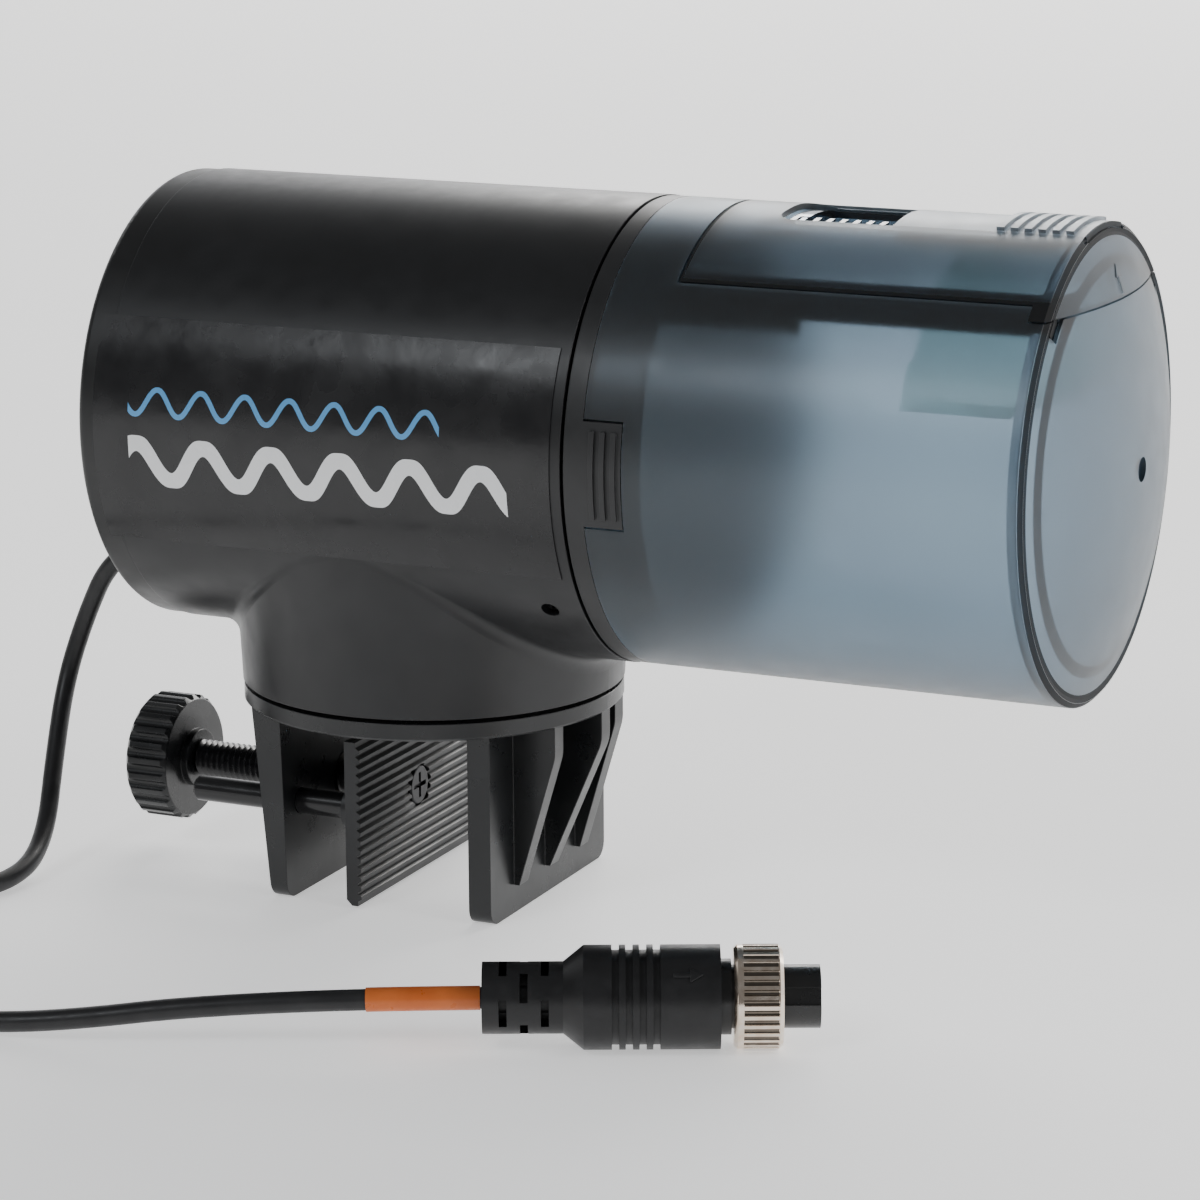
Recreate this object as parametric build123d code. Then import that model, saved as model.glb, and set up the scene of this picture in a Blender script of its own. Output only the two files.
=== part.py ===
from build123d import *
import math
import os

os.makedirs("parts", exist_ok=True)

# Automatic fish feeder, in millimetres. The feeder stands on the foot of its clamp: z = 0 is that surface,
# the origin is below the middle of the swivel, X runs along the drum axis towards the drum's domed end.

# --- driving dimensions: overall ---
neck_bottom_z = 33.3     # lower edge of the housing's neck
neck_rise = 6.2          # from that edge up to the underside of the housing tube
body_radius = 35.0       # housing tube, outside
axis_z = neck_bottom_z + neck_rise + body_radius
body_wall = 2.2
rear_seam_x = -36.9      # where the rear cap meets the housing
front_seam_x = 38.1      # where the housing ends and the turning drum begins
cap_length = 4.9
cap_step = 0.2           # the cap is this much smaller in radius than the housing

# --- named clearances ---
running = 0.08           # a shaft turning or sliding in its bore
seat = 0.1               # pieces put together by hand and held
gap = 0.3                # pieces that move past each other

# --- neck and swivel ---
neck_bottom_radius = 29.65
neck_top_radius = 31.5   # on the drum axis, inside the housing
neck_wall = 2.2
saddle_radius = 3.0      # where the neck runs into the tube
neck_recess = 2.7        # depth of the recess under the neck's floor
neck_floor = 2.5
hub_radius = 6.1
spring_height = 0.8
washer_radius = 10.0
washer_height = 1.0
swivel_core_radius = 1.8
swivel_head_radius = 4.0

# --- clamp ---
flange_radius = 29.5
flange_height = 2.7
swivel_gap = 0.7
jaw_half_width = 20.6
jaw_inner_x = 15.7
jaw_thickness = 3.7
wall_foot_inner_x = -15.5
wall_top_thickness = 4.817
wall_foot_thickness = 2.8
corner_radius = 2.5
gusset_thickness = 3.0
gusset_spacing = 11.0
gusset_straight = 4.7
gusset_end_z = 4.5
gusset_tip = 0.9         # how far the gusset's blunt lower end stands off the jaw

# --- pressure plate, its pins and its screw ---
plate_back_x = -5.2
plate_web = 1.95
plate_foot_z = 0.5
plate_height = 26.0
ridge_pitch = 1.45
ridge_height = 0.6
ridge_profile = ((0.06, 0), (0.32, 1), (0.62, 1), (0.9, 0))  # share of the pitch, share of the height
plate_border = 0.5
plate_heel = 0.9         # the plate's lower back edge is cut off by this much
plate_head_radius = 3.1
plate_core_radius = 1.0
screw_z = 14.5
screw_radius = 3.0
thread_depth = 0.55
thread_pitch = 1.0
journal_radius = 2.0
insert_wall = 1.1
pin_radius = 2.0
pin_offset = 15.0
pin_length = 31.0
boss_height = 2.0
knob_radius = 10.0
knob_width = 7.2
knob_outer_x = -50.6
knob_flutes = 24
flute_radius = 0.9
knob_dish = 1.2          # depth of the dished outer face
knob_rim = 2.5

# --- drive ---
gear_module = 0.8
drum_teeth = 40
pinion_teeth = 12
gear_width = 4.0
backlash = 0.12
spindle_radius = 4.0
bush_wall = 2.4
pinion_shaft_radius = 2.0
motor_radius = 10.0
motor_length = 27.0
gearhead_radius = 11.0
gearhead_length = 16.0
gear_plate_x = 21.9
gear_plate_thickness = 2.0
gear_plate_margin = 2.8  # between the gear plate and the housing's wall
bulkhead_thickness = 2.5
bulkhead_skirt = 7.0

# --- drum, hatch and shutter ---
drum_step = 0.13         # the drum is this much smaller in radius than the housing
drum_radius = body_radius - drum_step
drum_wall = 1.67
drum_end_x = 107.0       # rim between cylinder and dome
dome_depth = 6.4
dome_shoulder = 1.47     # the dome's rim is this much smaller in radius than the drum
dome_wall = 1.6
vent_radius = 1.8
collar_width = 2.8
collar_skirt_end_x = 50.0
tab_half_angle = 12.7
tab_length = 6.1
tab_ribs = 3
tab_rib_pitch = 1.7
tab_rib_width = 0.8
tab_rib_height = 0.45
tab_rib_half_angle = 10.5
hatch_start_x = 51.3
hatch_edge_angle = 49.5  # angles go from the side facing the clamp's open end, -Y, up to the top at 90
dome_cut_drop = 1.915    # the hatch's straight edge across the dome is this far below its side edges
seam = 0.25              # width of the hatch's seam all round
slider_half_angle = 13.1
slider_start_x = 78.0
aperture_start_x = 60.3
slider_thickness = 0.82
slot_corner = 2.5        # radius of the corners at the closed end of the slider's groove
rib_pitch = 2.05
grip_ridges = 6
ridge_half_width = 0.55
ridge_rise = 0.55        # of the slider's grip ridges
scale_ribs = 8

# --- cord and plug ---
cord_radius = 1.5
cord_exit_drop = 24.0    # below the drum axis
gland_grooves = 3
gland_groove_pitch = 1.6
gland_groove_width = 0.7
coil_mid_radius = 17.0
coil_turns = 10.5
coil_section_radius = 5.4
plug_turn = 24.6         # plug axis, degrees from X
plug_back = (41.6, -68.8)
plug_radius = 7.25
relief_radius = 5.0
relief_length = 11.2
relief_first_slot = 2.9
relief_slot_pitch = 2.9
relief_slot_width = 1.1
relief_slot_span = 4.2
relief_slot_turns = ((10, 100, 190, 280), (55, 145, 235, 325))  # of the odd and the even slots
cone_length = 2.8
plug_body_length = 18.9
plug_grooves = 4
plug_groove_pitch = 1.9
plug_groove_width = 1.0
plug_groove_depth = 0.7
plug_groove_start = 3.9  # behind the front of the cone
insert_neck_length = 1.8
nut_length = 6.8
knurl_count = 32
knurl_radius = 0.45
knurl_margin = 1.3       # plain band at the back of the nut
barrel_radius = 4.4
barrel_length = 5.2
key_width = 2.4
key_depth = 0.6
key_turn = 72            # of the keyway, from the top towards the viewer
sleeve_length = 18.6
sleeve_wall = 0.18


def disc(radius, x0, x1, y=0.0, z=axis_z):
    """A round bar along X, on the drum axis unless told otherwise."""
    return Pos((x0 + x1) / 2, y, z) * Rot(0, 90, 0) * Cylinder(radius, x1 - x0)


def ring(outer, inner, x0, x1, y=0.0, z=axis_z):
    """A tube along X."""
    return disc(outer, x0, x1, y, z) - disc(inner, x0 - 1, x1 + 1, y, z)


def post(radius, z0, z1, x=0.0, y=0.0):
    """A round bar along Z."""
    return Pos(x, y, (z0 + z1) / 2) * Cylinder(radius, z1 - z0)


def washer(outer, inner, z0, z1, x=0.0, y=0.0):
    """A tube along Z."""
    return post(outer, z0, z1, x, y) - post(inner, z0 - 1, z1 + 1, x, y)


def band(outer, inner, x0, x1, start, end):
    """Part of a tube round the drum axis, between two angles from -Y upwards."""
    section = Plane.XZ * Pos((x0 + x1) / 2, (inner + outer) / 2) * Rectangle(x1 - x0, outer - inner)
    arc = revolve(section, Axis.X, revolution_arc=end - start)
    return Pos(0, 0, axis_z) * Rot(90 - end, 0, 0) * arc


def around(radius, angle):
    """Y and Z of a point round the drum axis, at an angle from -Y upwards."""
    a = math.radians(angle)
    return -radius * math.cos(a), axis_z + radius * math.sin(a)


def block(x0, x1, y0, y1, z0, z1):
    return Pos((x0 + x1) / 2, (y0 + y1) / 2, (z0 + z1) / 2) * Box(x1 - x0, y1 - y0, z1 - z0)


def prism_y(points, y0, y1):
    """An outline of X, Z points, extruded along Y."""
    face = make_face(Polyline(*[(x, y0, z) for x, z in points], close=True))
    return extrude(face, y1 - y0, dir=(0, 1, 0))


def gear(teeth, x0, x1, z, phase, bore):
    """A straight-cut gear along X, with a tooth centred at the phase angle."""
    pitch_radius = gear_module * teeth / 2
    root = pitch_radius - 1.25 * gear_module
    tip = pitch_radius + 0.9 * gear_module
    step = 2 * math.pi / teeth
    points = []
    for i in range(teeth):
        for radius, share in ((root, -0.29), (tip, -0.12), (tip, 0.12), (root, 0.29)):
            a = math.radians(phase) + (i + share) * step
            points.append((x0, radius * math.cos(a), z + radius * math.sin(a)))
    wheel = extrude(make_face(Polyline(*points, close=True)), x1 - x0, dir=(1, 0, 0))
    return wheel - disc(bore, x0 - 1, x1 + 1, z=z)


def cross_recess(size, depth, width=0.7):
    """The cutter for a cross-head drive, with its open end at z = 0 and its depth along -Z."""
    arm = Box(size, width, 2 * depth)
    return arm + Rot(0, 0, 90) * arm


def pan_screw(head_radius, head_height, core_radius, length):
    """A pan-head screw: head above z = 0, core along -Z."""
    head = Cylinder(head_radius, head_height, align=(Align.CENTER, Align.CENTER, Align.MIN))
    head = fillet(head.faces().sort_by(Axis.Z)[-1].edges(), head_height * 0.45)
    core = Cylinder(core_radius, length, align=(Align.CENTER, Align.CENTER, Align.MAX))
    return head + core - Pos(0, 0, head_height) * cross_recess(head_radius * 1.3, head_height * 0.6)


def save(name, shape):
    """Writes one node; a list of shapes is a group of separate solids."""
    solids = [s for item in (shape if isinstance(shape, list) else [shape]) for s in item.solids()]
    node = solids[0] if len(solids) == 1 else Compound(children=solids)
    export_step(node, f"parts/{name}.step")


# --- clamp bracket ---
flange_top_z = neck_bottom_z - swivel_gap
flange_bottom_z = flange_top_z - flange_height
neck_floor_z = neck_bottom_z + neck_recess
neck_floor_top_z = neck_floor_z + neck_floor
jaw_outer_x = jaw_inner_x + jaw_thickness
wall_foot_outer_x = wall_foot_inner_x - wall_foot_thickness
wall_top_outer_x = -math.sqrt(flange_radius ** 2 - jaw_half_width ** 2)
wall_top_inner_x = wall_top_outer_x + wall_top_thickness
hub_top_z = neck_floor_top_z + spring_height
guide_ring_radius = neck_bottom_radius - neck_wall - gap


def wall_x(top_x, foot_x, z):
    """X of a face of the tapering left wall at a height."""
    return foot_x + (top_x - foot_x) * z / flange_bottom_z


def gusset(y):
    rim_x = math.sqrt(flange_radius ** 2 - (abs(y) + gusset_thickness / 2) ** 2) - seam
    bend_z = flange_bottom_z - gusset_straight
    outline = [
        (jaw_outer_x - 1, flange_bottom_z + 1),
        (rim_x, flange_bottom_z + 1),
        (rim_x, bend_z),
        (jaw_outer_x + gusset_tip, gusset_end_z),
        (jaw_outer_x - 1, gusset_end_z),
    ]
    rib = prism_y(outline, y - gusset_thickness / 2, y + gusset_thickness / 2)
    bend = rib.edges().filter_by(Axis.Y).sort_by_distance((rim_x, y, bend_z))[0]
    return fillet(bend, 6.0)


def clamp_bracket():
    flange = post(flange_radius, flange_bottom_z, flange_top_z)
    flange = chamfer(flange.faces().sort_by(Axis.Z)[0].edges(), 0.4)
    left = prism_y(
        [
            (wall_foot_outer_x, 0),
            (wall_foot_inner_x, 0),
            (wall_top_inner_x, flange_bottom_z + 1),
            (wall_top_outer_x, flange_bottom_z + 1),
        ],
        -jaw_half_width,
        jaw_half_width,
    )
    right = block(jaw_inner_x, jaw_outer_x, -jaw_half_width, jaw_half_width, 0, flange_bottom_z + 1)
    left = fillet(left.edges().group_by(Axis.Z)[0].filter_by(Axis.X), corner_radius)
    right = fillet(right.edges().group_by(Axis.Z)[0].filter_by(Axis.X), corner_radius)
    bracket = flange + left + right
    for i in (-1, 0, 1):
        bracket += gusset(i * gusset_spacing)
    bracket += washer(guide_ring_radius, guide_ring_radius - 2, flange_top_z, neck_floor_z - gap)
    bracket += post(hub_radius, flange_top_z, hub_top_z)
    bracket -= post(swivel_core_radius, flange_bottom_z + 1, hub_top_z + 1)
    bracket -= disc(insert_radius, wall_top_outer_x - 5, wall_top_inner_x + 5, z=screw_z)
    for y in (-pin_offset, pin_offset):
        bracket -= disc(pin_radius + running, wall_top_outer_x - 5, wall_top_inner_x + 5, y=y, z=screw_z)
    return bracket


insert_radius = screw_radius + running + insert_wall
insert_x0 = wall_x(wall_top_outer_x, wall_foot_outer_x, screw_z)
insert_x1 = wall_x(wall_top_inner_x, wall_foot_inner_x, screw_z)

save("clamp_bracket", clamp_bracket())
save("screw_insert", ring(insert_radius, screw_radius + running, insert_x0, insert_x1, z=screw_z))

# The slip ring, wave washer, washer and screw hold the neck to the flange and let it turn.
slip_radius = guide_ring_radius - 2 - gap
save("swivel_ring", washer(slip_radius, slip_radius - 4, flange_top_z, neck_floor_z - running))
save("swivel_spring", washer(hub_radius + 2.4, hub_radius + gap, neck_floor_top_z, hub_top_z))
save("swivel_washer", washer(washer_radius, swivel_core_radius + 0.2, hub_top_z, hub_top_z + washer_height))
swivel_length = hub_top_z + washer_height - flange_bottom_z - 2
swivel_screw = pan_screw(swivel_head_radius, 2.6, swivel_core_radius, swivel_length)
save("swivel_screw", Pos(0, 0, hub_top_z + washer_height) * swivel_screw)

# --- pressure plate, guide pins, clamp screw and knob ---
plate_face_x = plate_back_x + plate_web
head_pocket_depth = 1.2
pocket_floor_x = plate_face_x + ridge_height - head_pocket_depth


def pressure_plate():
    top = plate_foot_z + plate_height
    outline = [
        (plate_back_x, top),
        (plate_back_x, plate_foot_z + plate_heel),
        (plate_back_x + plate_heel, plate_foot_z),
        (plate_face_x, plate_foot_z),
    ]
    count = int((plate_height - 2 * plate_border) // ridge_pitch)
    first = plate_foot_z + (plate_height - count * ridge_pitch) / 2
    for i in range(count):
        z = first + i * ridge_pitch
        for share, rise in ridge_profile:
            outline.append((plate_face_x + rise * ridge_height, z + share * ridge_pitch))
    outline.append((plate_face_x, top))
    plate = prism_y(outline, -jaw_half_width, jaw_half_width)
    for y in (-pin_offset, pin_offset):
        plate += disc(pin_radius + 1.4, plate_back_x - boss_height, plate_back_x, y=y, z=screw_z)
    plate += disc(screw_radius + 2.5, plate_back_x - boss_height + 1, plate_back_x, z=screw_z)
    plate -= disc(journal_radius + running, plate_back_x - boss_height, plate_face_x, z=screw_z)
    plate -= disc(plate_head_radius + gap, pocket_floor_x, plate_face_x + ridge_height + 1, z=screw_z)
    for y in (-pin_offset, pin_offset):
        plate -= disc(pin_radius, plate_back_x - boss_height - 1, plate_back_x, y=y, z=screw_z)
    return plate


pin_end_x = plate_back_x - pin_length + boss_height
save("pressure_plate", pressure_plate())
pins = []
for y in (-pin_offset, pin_offset):
    pin = disc(pin_radius, pin_end_x, plate_back_x, y=y, z=screw_z)
    pins.append(chamfer(pin.faces().sort_by(Axis.X)[0].edges(), 0.5))
save("guide_pins", pins)

knob_inner_x = knob_outer_x + knob_width
shoulder_x = plate_back_x - boss_height + 1 - running
journal_end_x = pocket_floor_x + running


def clamp_screw():
    """Screw thread drawn as close-set ridges, with a plain end in the knob and a journal in the plate."""
    core = screw_radius - thread_depth
    outline = [(knob_outer_x + 1.5, 0), (knob_outer_x + 1.5, core), (knob_inner_x + 1.5, core)]
    turns = int((shoulder_x - knob_inner_x - 2.5) // thread_pitch)
    for i in range(turns):
        x = knob_inner_x + 1.5 + i * thread_pitch
        outline += [
            (x + 0.42 * thread_pitch, screw_radius),
            (x + 0.58 * thread_pitch, screw_radius),
            (x + thread_pitch, core),
        ]
    outline += [(shoulder_x, core), (shoulder_x, journal_radius), (journal_end_x, journal_radius)]
    outline += [(journal_end_x, 0)]
    face = make_face(Polyline(*[(x, 0, r) for x, r in outline], close=True))
    rod = Pos(0, 0, screw_z) * revolve(face, Axis.X)
    return rod - disc(plate_core_radius, journal_end_x - 6, journal_end_x + 1, z=screw_z)


def screw_knob():
    knob = disc(knob_radius, knob_outer_x, knob_inner_x, z=screw_z)
    knob = chamfer(knob.edges().filter_by(GeomType.CIRCLE), 0.7)
    for i in range(knob_flutes):
        a = 2 * math.pi * i / knob_flutes
        y = (knob_radius + 0.25) * math.cos(a)
        z = screw_z + (knob_radius + 0.25) * math.sin(a)
        knob -= disc(flute_radius, knob_outer_x - 1, knob_inner_x + 1, y=y, z=z)
    knob += disc(screw_radius + 1.6, knob_inner_x, knob_inner_x + 1.2, z=screw_z)
    knob -= disc(knob_radius - knob_rim, knob_outer_x - 1, knob_outer_x + knob_dish, z=screw_z)
    return knob - disc(screw_radius - thread_depth, knob_outer_x + 1.5, knob_inner_x + 2, z=screw_z)


save("clamp_screw", clamp_screw())
save("screw_knob", screw_knob())
plate_screw = pan_screw(plate_head_radius, 0.9, plate_core_radius, 5.0)
save("plate_screw", Pos(journal_end_x, 0, screw_z) * Rot(0, 90, 0) * plate_screw)

# --- housing shell: tube and neck ---
inner_radius = body_radius - body_wall
cap_end_x = rear_seam_x - cap_length
neck_height = axis_z - neck_bottom_z
boss_radius = 4.0
boss_offset = inner_radius + 0.2 - boss_radius
rear_screw_angles = (90, 210, 330)
spigot_length = 5.5
rear_boss_x0 = rear_seam_x + spigot_length + 1.0
rear_boss_length = 8.0
rear_core_radius = 1.25
rear_head_radius = 2.4
side_screw_x = 32.7
side_screw_angles = (-39.6, 219.6)
side_core_radius = 1.2
side_hole_radius = 1.4
side_screw_depth = 1.0   # the set screws sit this far below the housing's surface


def neck_radius(z):
    return neck_bottom_radius + (neck_top_radius - neck_bottom_radius) * (z - neck_bottom_z) / neck_height


def cone_z(z0, z1, inset):
    solid = Cone(neck_radius(z0) - inset, neck_radius(z1) - inset, z1 - z0)
    return Pos(0, 0, (z0 + z1) / 2) * solid


def radial(shape, angle, radius, x):
    """Turns a shape standing on z = 0 so that it stands on the housing at an angle round the drum axis."""
    return Pos(x, 0, axis_z) * Rot(90 - angle, 0, 0) * Pos(0, 0, radius) * shape


def housing_shell():
    shell = disc(body_radius, rear_seam_x, front_seam_x) + cone_z(neck_bottom_z, axis_z, 0)
    shell = fillet(shell.edges().filter_by(GeomType.BSPLINE), saddle_radius)
    shell -= disc(inner_radius, rear_seam_x - 1, front_seam_x + 1)
    shell -= cone_z(neck_floor_top_z, axis_z, neck_wall)
    shell -= post(neck_bottom_radius - neck_wall, neck_bottom_z - 1, neck_floor_z)
    shell -= post(hub_radius + seat, neck_floor_z - 1, neck_floor_top_z + 1)
    for angle in rear_screw_angles:
        y, z = around(boss_offset, angle)
        shell += disc(boss_radius, rear_boss_x0, rear_boss_x0 + rear_boss_length, y, z)
        shell -= disc(rear_core_radius, rear_boss_x0 - 1, rear_boss_x0 + rear_boss_length - 1, y, z)
    for angle in side_screw_angles:
        hole = Cylinder(side_hole_radius, 2 * body_wall)
        shell -= radial(hole, angle, inner_radius + body_wall / 2, side_screw_x)
    return shell


save("housing_shell", housing_shell())

# --- rear cap with its screws and the cable gland ---
cap_radius = body_radius - cap_step
spigot_radius = inner_radius - seat
spigot_wall = 1.7
gland_z = axis_z - cord_exit_drop
gland_hole = 3.1
nose_length = 6.5
board_radius = 24.0
board_thickness = 1.6
board_x = -28.2
board_post_offset = 20.0
board_post_radius = 2.4
board_core_radius = 1.0
board_post_angles = (0, 120, 240)


def rear_cap():
    cap = disc(cap_radius, cap_end_x, rear_seam_x)
    cap = fillet(cap.faces().sort_by(Axis.X)[0].edges(), 1.2)
    cap -= disc(spigot_radius - spigot_wall, cap_end_x + body_wall, rear_seam_x + 1)
    cap += ring(spigot_radius, spigot_radius - spigot_wall, rear_seam_x, rear_seam_x + spigot_length)
    for angle in board_post_angles:
        y, z = around(board_post_offset, angle)
        cap += disc(board_post_radius, cap_end_x + body_wall - 0.1, board_x, y, z)
        cap -= disc(board_core_radius, board_x - 6, board_x + 1, y, z)
    for angle in rear_screw_angles:
        y, z = around(boss_offset, angle)
        cap += disc(boss_radius, cap_end_x + body_wall - 0.1, rear_boss_x0 - seat, y, z)
        cap &= disc(cap_radius + 1, cap_end_x - 1, rear_seam_x) + disc(spigot_radius, rear_seam_x, board_x)
        cap -= disc(rear_core_radius + 0.25, cap_end_x - 1, rear_boss_x0 + 1, y, z)
        cap -= disc(rear_head_radius + gap, cap_end_x - 1, cap_end_x + 1.4, y, z)
    return cap - disc(gland_hole, cap_end_x - 1, cap_end_x + body_wall + 1, z=gland_z)


save("rear_cap", rear_cap())
rear_screws = []
for angle in rear_screw_angles:
    y, z = around(boss_offset, angle)
    reach = rear_boss_x0 + rear_boss_length - 1.5 - (cap_end_x + 1.4)
    screw = pan_screw(rear_head_radius, 1.3, rear_core_radius, reach)
    rear_screws.append(Pos(cap_end_x + 1.4, y, z) * Rot(0, -90, 0) * screw)
save("rear_cap_screws", rear_screws)

gland_in_x = cap_end_x + body_wall
gland = disc(gland_hole, cap_end_x, gland_in_x, z=gland_z)
gland += disc(gland_hole + 1.1, gland_in_x, gland_in_x + 1.5, z=gland_z)
nose_x = cap_end_x - nose_length
nose = Cone(gland_hole + 0.8, cord_radius + 0.7, nose_length)
gland += Pos((nose_x + cap_end_x) / 2, 0, gland_z) * Rot(0, -90, 0) * nose
for i in range(gland_grooves):
    groove_x = cap_end_x - 1.4 - i * gland_groove_pitch
    gland -= ring(gland_hole + 2, cord_radius + 1.0, groove_x - gland_groove_width, groove_x, z=gland_z)
gland -= disc(cord_radius, nose_x - 5, gland_in_x + 5, z=gland_z)
save("cable_gland", gland)

# --- circuit board ---
board = disc(board_radius, board_x, board_x + board_thickness) - disc(1.2, board_x - 1, board_x + 3)
for angle in board_post_angles:
    y, z = around(board_post_offset, angle)
    board -= disc(board_core_radius + 0.2, board_x - 1, board_x + 3, y, z)
save("circuit_board", board)
board_face_x = board_x + board_thickness
y_cap, z_cap = around(13.0, 60)
components = [
    disc(3.2, board_face_x, board_face_x + 8.0, y_cap, z_cap),
    block(board_face_x, board_face_x + 2.2, -6, 6, axis_z - 4, axis_z + 4),
    block(board_face_x, board_face_x + 6.0, 9, 19, axis_z - 5, axis_z + 3),
    block(board_face_x, board_face_x + 5.0, -19, -11, axis_z - 11, axis_z - 5),
    block(board_x - 4.5, board_x, -5, 5, axis_z - 14, axis_z - 9),
]
save("board_components", components)
board_screws = []
for angle in board_post_angles:
    y, z = around(board_post_offset, angle)
    screw = pan_screw(1.9, 1.2, board_core_radius, 5.0)
    board_screws.append(Pos(board_face_x, y, z) * Rot(0, 90, 0) * screw)
save("board_screws", board_screws)

# --- front bulkhead, bush, gear plate and motor ---
bulkhead_radius = inner_radius - seat
bulkhead_x1 = front_seam_x - 0.6
bulkhead_x0 = bulkhead_x1 - bulkhead_thickness
bush_radius = spindle_radius + running + bush_wall
bush_length = 7.0
post_angles = (90, 210, 330)
post_offset = 26.5
plate_screw_core = 1.1
gear_plate_x1 = gear_plate_x + gear_plate_thickness
pinion_z = axis_z - gear_module * (drum_teeth + pinion_teeth) / 2 - backlash


def front_bulkhead():
    wall = disc(bulkhead_radius, bulkhead_x0, bulkhead_x1)
    wall += ring(bulkhead_radius, bulkhead_radius - 2.6, bulkhead_x0 - bulkhead_skirt, bulkhead_x0)
    wall += disc(bush_radius + 1.8, bulkhead_x1 - bush_length, bulkhead_x0)
    wall -= disc(bush_radius, bulkhead_x1 - bush_length - 1, bulkhead_x1 + 1)
    for angle in post_angles:
        y, z = around(post_offset, angle)
        wall += disc(3.0, gear_plate_x1, bulkhead_x0, y, z)
        wall -= disc(plate_screw_core, gear_plate_x1 - 1, gear_plate_x1 + 7, y, z)
    for angle in side_screw_angles:
        core = Cylinder(side_core_radius, 8)
        wall -= radial(core, angle, bulkhead_radius, side_screw_x)
    return wall


save("front_bulkhead", front_bulkhead())
save("spindle_bush", ring(bush_radius, spindle_radius + running, bulkhead_x1 - bush_length, bulkhead_x1))

side_screw_length = 4.0
side_screws = []
for angle in side_screw_angles:
    core = Cylinder(side_core_radius, side_screw_length, align=(Align.CENTER, Align.CENTER, Align.MAX))
    core -= cross_recess(side_core_radius * 1.4, 0.8, 0.4)
    side_screws.append(radial(core, angle, body_radius - side_screw_depth, side_screw_x))
save("housing_screws", side_screws)

gear_plate_radius = inner_radius - gear_plate_margin
gear_plate = disc(gear_plate_radius, gear_plate_x, gear_plate_x1)
gear_plate -= disc(spindle_radius + 3, gear_plate_x - 1, gear_plate_x1 + 1)
gear_plate -= disc(pinion_shaft_radius + 1, gear_plate_x - 1, gear_plate_x1 + 1, z=pinion_z)
motor_screw_offset = 7.5
for angle in post_angles:
    y, z = around(post_offset, angle)
    gear_plate -= disc(plate_screw_core + 0.2, gear_plate_x - 1, gear_plate_x1 + 1, y, z)
for y in (-motor_screw_offset, motor_screw_offset):
    gear_plate -= disc(1.25, gear_plate_x - 1, gear_plate_x1 + 1, y, pinion_z)
save("gear_plate", gear_plate)
plate_screws = []
for angle in post_angles:
    y, z = around(post_offset, angle)
    plate_screws.append(Pos(gear_plate_x, y, z) * Rot(0, -90, 0) * pan_screw(2.1, 1.3, plate_screw_core, 7.5))
save("gear_plate_screws", plate_screws)

gearhead_x0 = gear_plate_x - gearhead_length
gearhead = disc(gearhead_radius, gearhead_x0, gear_plate_x, z=pinion_z)
gearhead -= disc(pinion_shaft_radius + running, gear_plate_x - 9, gear_plate_x + 1, z=pinion_z)
for y in (-motor_screw_offset, motor_screw_offset):
    gearhead -= disc(1.05, gear_plate_x - 4, gear_plate_x + 1, y, pinion_z)
save("gearhead_case", gearhead)
motor_screws = []
for y in (-motor_screw_offset, motor_screw_offset):
    screw = pan_screw(1.9, 1.0, 1.05, 5.5)
    motor_screws.append(Pos(gear_plate_x1, y, pinion_z) * Rot(0, 90, 0) * screw)
save("motor_screws", motor_screws)
motor = disc(motor_radius, gearhead_x0 - motor_length, gearhead_x0, z=pinion_z)
motor = fillet(motor.faces().sort_by(Axis.X)[0].edges(), 1.0)
motor += disc(3.0, gearhead_x0 - motor_length - 1.5, gearhead_x0 - motor_length, z=pinion_z)
save("motor_can", motor)

gear_x0 = gear_plate_x1 + 1.6
gear_x1 = gear_x0 + gear_width
pinion = gear(pinion_teeth, gear_x0, gear_x1, pinion_z, 90 + 180 / pinion_teeth, pinion_shaft_radius)
pinion += disc(pinion_shaft_radius, gear_plate_x - 8.5, gear_x1 + 1, z=pinion_z)
save("pinion_gear", pinion)

# --- drum drive: gear, spindle, clip, collar and magnet ---
collar_x0 = front_seam_x + 0.5
collar_x1 = collar_x0 + collar_width
drum_inner = drum_radius - drum_wall
skirt_radius = drum_inner - seat
web_thickness = 1.6
spindle_x0 = gear_x0 - 3.0
drive_hub_radius = 9.0
clip_x = gear_x0 - 1.2
save("drum_gear", gear(drum_teeth, gear_x0, gear_x1, axis_z, 90, spindle_radius))
spindle = disc(spindle_radius, spindle_x0, collar_skirt_end_x - web_thickness)
spindle = chamfer(spindle.faces().sort_by(Axis.X)[0].edges(), 0.5)
spindle -= ring(spindle_radius + 1, spindle_radius - 0.6, clip_x, clip_x + 0.8)
save("drum_spindle", spindle)
clip = ring(spindle_radius + 1.6, spindle_radius - 0.6, clip_x, clip_x + 0.8)
save("spindle_clip", clip - block(clip_x - 1, clip_x + 2, 0, 9, axis_z - 1.6, axis_z + 1.6))

magnet_offset = 23.0
magnet_angle = 30
magnet_y, magnet_z = around(magnet_offset, magnet_angle)
magnet_radius = 2.5
magnet_depth = 2.0
tab_x1 = collar_x1 + tab_length
prong_length = 20.0
prong_angles = (41.5, 53.0)


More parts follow.
